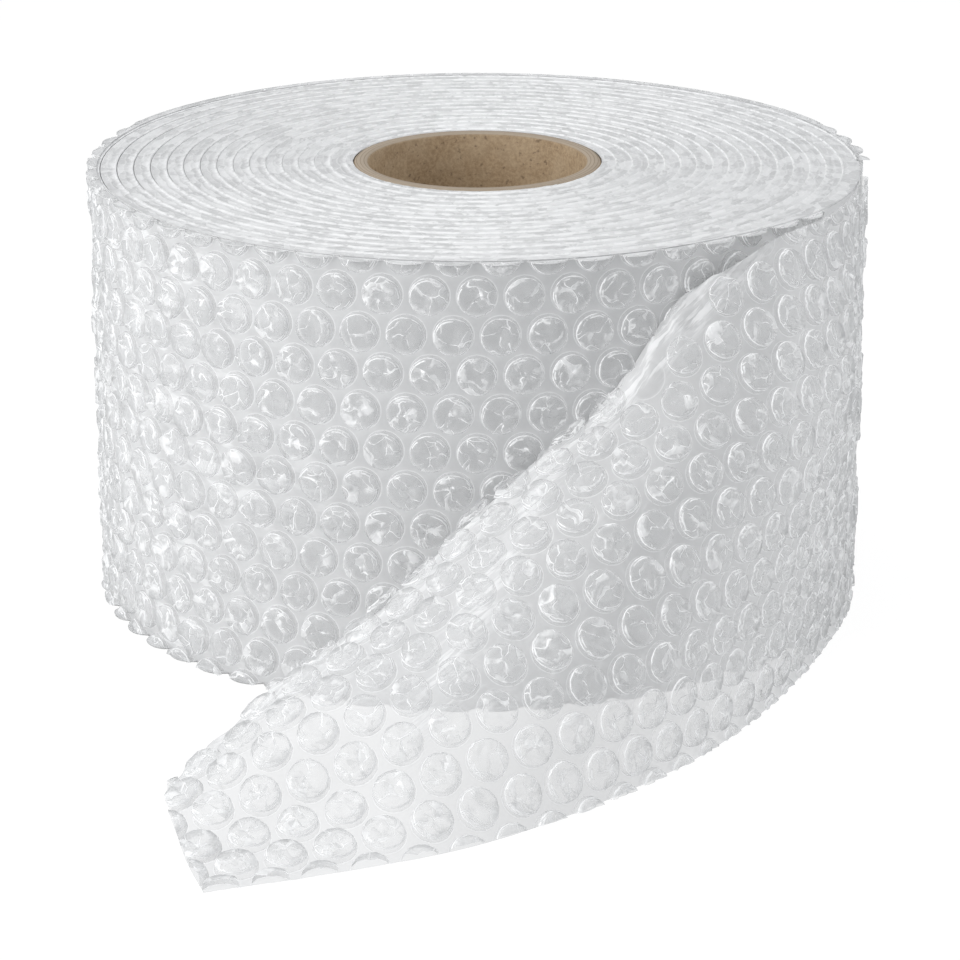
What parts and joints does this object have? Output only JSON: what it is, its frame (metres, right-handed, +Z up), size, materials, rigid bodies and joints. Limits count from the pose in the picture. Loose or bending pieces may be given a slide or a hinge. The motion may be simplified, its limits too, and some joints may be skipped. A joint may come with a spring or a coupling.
{
  "type": "bubble wrap roll",
  "caption": "Roll of clear bubble wrap on a cardboard core, standing on end, its free end pulled off and lying in front.",
  "frame": {"origin": "centre of the overall footprint, on the table; the roll's axis stands behind it", "axes": "+Z up along the roll's axis; -Y towards the end of the loose wrap; +X to the right of a person facing it"},
  "size_m": [0.274, 0.4062, 0.1524],
  "materials": {
    "film": "clear glossy polyethylene film with air bubbles, milky grey white where it is wound",
    "board": "matt brown spiral-wound board"
  },
  "bodies": {
    "root": {"bubble_wrap": "film", "cardboard_core": "board"}
  },
  "joints": []
}
